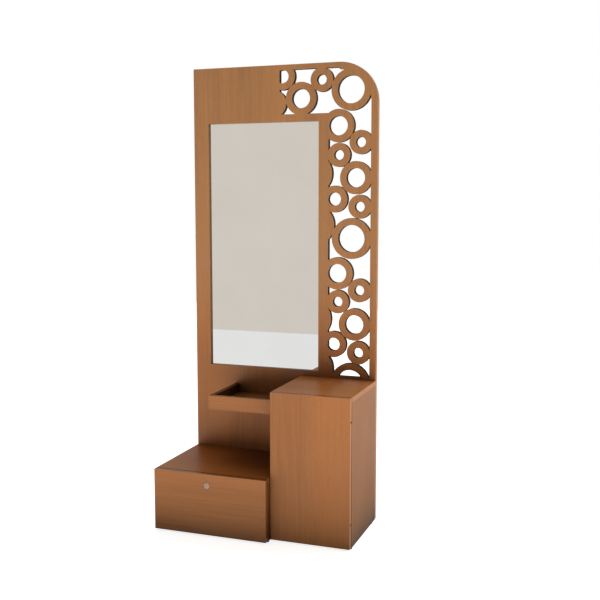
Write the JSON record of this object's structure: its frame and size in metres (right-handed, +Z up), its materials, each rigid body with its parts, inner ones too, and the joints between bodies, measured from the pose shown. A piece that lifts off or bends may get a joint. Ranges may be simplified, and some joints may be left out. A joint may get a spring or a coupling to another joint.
{
  "type": "salon styling station",
  "caption": "Wall-standing dressing unit: tall back panel with recessed mirror and ring fretwork, low lockable drawer box, tall cupboard and an open tray between them.",
  "frame": {"origin": "on the floor, at the centre of the station's width and depth", "axes": "+Z up; -Y towards the person who uses the station; +X to that person's right, the side with the cupboard"},
  "size_m": [0.775, 0.4046, 1.8],
  "materials": {
    "panel_veneer": "light walnut veneer with vertical grain",
    "top_veneer": "light walnut veneer, grain along the width",
    "front_veneer": "light walnut veneer on the fronts",
    "side_veneer": "paler walnut veneer on the outer sides",
    "inner_board": "plain melamine-like wood board",
    "hdf": "raw fibreboard",
    "beech": "turned beech",
    "mirror": "silvered float glass",
    "steel": "zinc-plated pressed steel",
    "zinc": "die-cast or plated zinc",
    "chrome": "satin chrome plating",
    "black_steel": "blackened steel",
    "grey_plastic": "moulded grey plastic",
    "black_plastic": "moulded black plastic"
  },
  "bodies": {
    "carcass": {"back_panel": "panel_veneer", "mirror_glass": "mirror", "mirror_backing": "hdf", "mirror_clips": "steel", "mirror_clip_screws": "zinc", "panel_screws": "zinc", "low_top": "top_veneer", "low_left_side": "side_veneer", "low_right_side": "side_veneer", "low_bottom": "inner_board", "cupboard_top": "top_veneer", "cupboard_left_side": "side_veneer", "cupboard_right_side": "side_veneer", "cupboard_bottom": "inner_board", "cupboard_shelf": "inner_board", "shelf_pins": "zinc", "tray_front": "front_veneer", "tray_left_side": "side_veneer", "tray_bottom": "top_veneer", "tray_dowels": "beech", "cam_discs": "zinc", "cam_bolts": "zinc", "wood_dowels": "beech", "floor_glides": "black_plastic", "slide_outer_rails": "steel", "slide_rail_screws": "zinc", "lock_keeper": "steel", "keeper_screws": "zinc", "pivot_leaves": "steel", "pivot_leaf_screws": "zinc", "latch_body": "grey_plastic", "latch_screws": "zinc"},
    "slide_middle": {"slide_middle_rails": "steel"},
    "drawer": {"drawer_front": "front_veneer", "drawer_left_side": "inner_board", "drawer_right_side": "inner_board", "drawer_inner_front": "inner_board", "drawer_back_board": "inner_board", "drawer_bottom": "hdf", "drawer_front_screws": "zinc", "slide_inner_rails": "steel", "inner_rail_screws": "zinc", "lock_housing": "chrome", "lock_nut": "zinc"},
    "lock": {"lock_plug": "chrome", "lock_cam": "zinc", "lock_cam_screw": "zinc"},
    "door": {"door_panel": "front_veneer", "pivot_plates": "steel", "pivot_pins": "black_steel", "latch_strike": "steel", "strike_screws": "zinc"},
    "plunger": {"latch_plunger": "black_plastic"}
  },
  "joints": [
    {"name": "drawer_slide", "type": "slide", "parent": "carcass", "child": "drawer", "axis": [0, -1, 0], "range_m": [0, 0.34]},
    {"name": "rail_slide", "type": "slide", "parent": "carcass", "child": "slide_middle", "axis": [0, -1, 0], "range_m": [0, 0.17]},
    {"name": "lock_turn", "type": "hinge", "parent": "drawer", "child": "lock", "pos_m": [-0.1645, -0.2, 0.1995], "axis": [0, -1, 0], "range_deg": [0, 90]},
    {"name": "door_hinge", "type": "hinge", "parent": "carcass", "child": "door", "pos_m": [0.3825, -0.15075, 0.3], "axis": [0, 0, 1], "range_deg": [0, 95]},
    {"name": "latch_push", "type": "slide", "parent": "carcass", "child": "plunger", "axis": [0, 1, 0], "range_m": [0, 0.003], "stiffness_N_per_m": 300}
  ],
  "couplings": [
    {"joint": "rail_slide", "follows": "drawer_slide", "ratio": 0.5}
  ]
}
